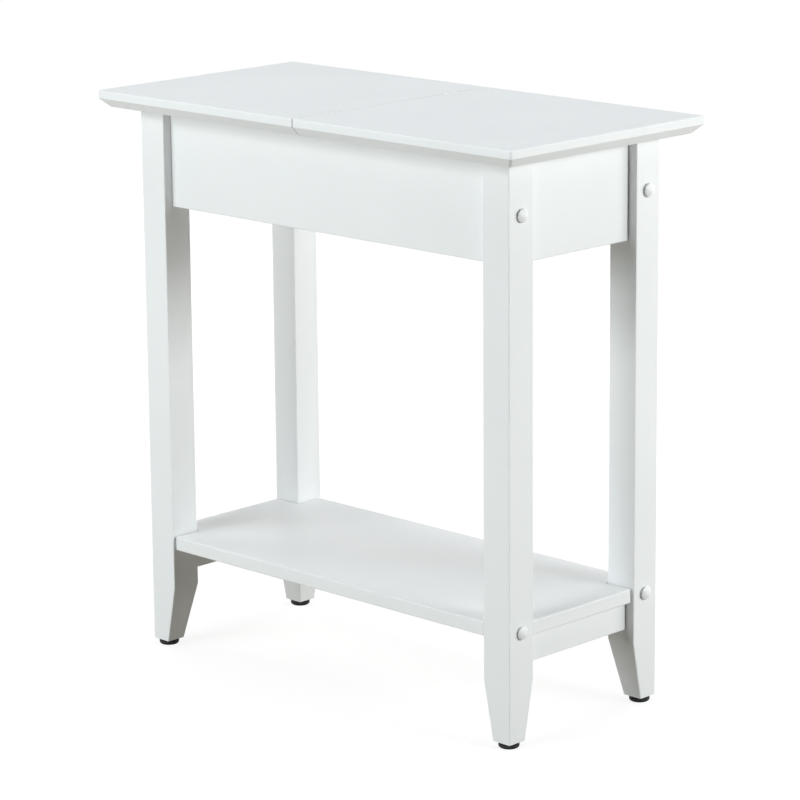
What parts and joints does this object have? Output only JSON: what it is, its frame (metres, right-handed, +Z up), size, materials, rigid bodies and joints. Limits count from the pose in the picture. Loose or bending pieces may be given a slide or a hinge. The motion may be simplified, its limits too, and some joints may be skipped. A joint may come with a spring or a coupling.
{
  "type": "flip top end table",
  "caption": "Narrow white end table: bevelled split top with a hinged lid over a storage box, tapered legs on levelling feet and a lower shelf.",
  "frame": {"origin": "on the floor, under the middle of the table", "axes": "+X along the length towards the lid, +Y along the depth towards the back, +Z up"},
  "size_m": [0.5906, 0.2858, 0.6105],
  "materials": {
    "painted_wood": "satin white lacquer",
    "floor_board": "matt white board",
    "dowel_beech": "bare beech",
    "hinge_white": "white powder coat",
    "fastener_steel": "zinc plated",
    "cap_plastic": "white moulded",
    "foot_plastic": "black moulded"
  },
  "bodies": {
    "frame": {"apron_cross_nuts": "fastener_steel", "apron_dowels": "dowel_beech", "back_apron": "painted_wood", "back_hinge_fixed_leaf": "hinge_white", "back_hinge_pin": "fastener_steel", "back_left_leg": "painted_wood", "back_right_leg": "painted_wood", "back_top_cleat": "painted_wood", "bolt_caps": "cap_plastic", "cleat_screws": "fastener_steel", "compartment_floor": "floor_board", "end_panel_dowels": "dowel_beech", "fixed_leaf_screws": "fastener_steel", "fixed_top": "painted_wood", "foot_inserts": "fastener_steel", "front_apron": "painted_wood", "front_hinge_fixed_leaf": "hinge_white", "front_hinge_pin": "fastener_steel", "front_left_leg": "painted_wood", "front_right_leg": "painted_wood", "front_top_cleat": "painted_wood", "left_end_panel": "painted_wood", "left_shelf_rail": "painted_wood", "lower_bolts": "fastener_steel", "right_end_panel": "painted_wood", "right_shelf_rail": "painted_wood", "seam_rail": "painted_wood", "seam_rail_dowels": "dowel_beech", "shelf": "painted_wood", "shelf_cross_nuts": "fastener_steel", "shelf_rail_dowels": "dowel_beech", "top_screws": "fastener_steel", "upper_bolts": "fastener_steel"},
    "lid": {"back_hinge_lid_leaf": "hinge_white", "front_hinge_lid_leaf": "hinge_white", "lid": "painted_wood", "lid_leaf_screws": "fastener_steel"},
    "back_left_foot": {"back_left_foot": "foot_plastic"},
    "back_right_foot": {"back_right_foot": "foot_plastic"},
    "front_left_foot": {"front_left_foot": "foot_plastic"},
    "front_right_foot": {"front_right_foot": "foot_plastic"}
  },
  "joints": [
    {"name": "lid_hinge", "type": "hinge", "parent": "frame", "child": "lid", "pos_m": [0, 0, 0.60965], "axis": [0, -1, 0], "range_deg": [0, 180]},
    {"name": "back_left_foot_screw", "type": "slide", "parent": "frame", "child": "back_left_foot", "axis": [0, 0, -1], "range_m": [0, 0.008]},
    {"name": "back_right_foot_screw", "type": "slide", "parent": "frame", "child": "back_right_foot", "axis": [0, 0, -1], "range_m": [0, 0.008]},
    {"name": "front_left_foot_screw", "type": "slide", "parent": "frame", "child": "front_left_foot", "axis": [0, 0, -1], "range_m": [0, 0.008]},
    {"name": "front_right_foot_screw", "type": "slide", "parent": "frame", "child": "front_right_foot", "axis": [0, 0, -1], "range_m": [0, 0.008]}
  ]
}
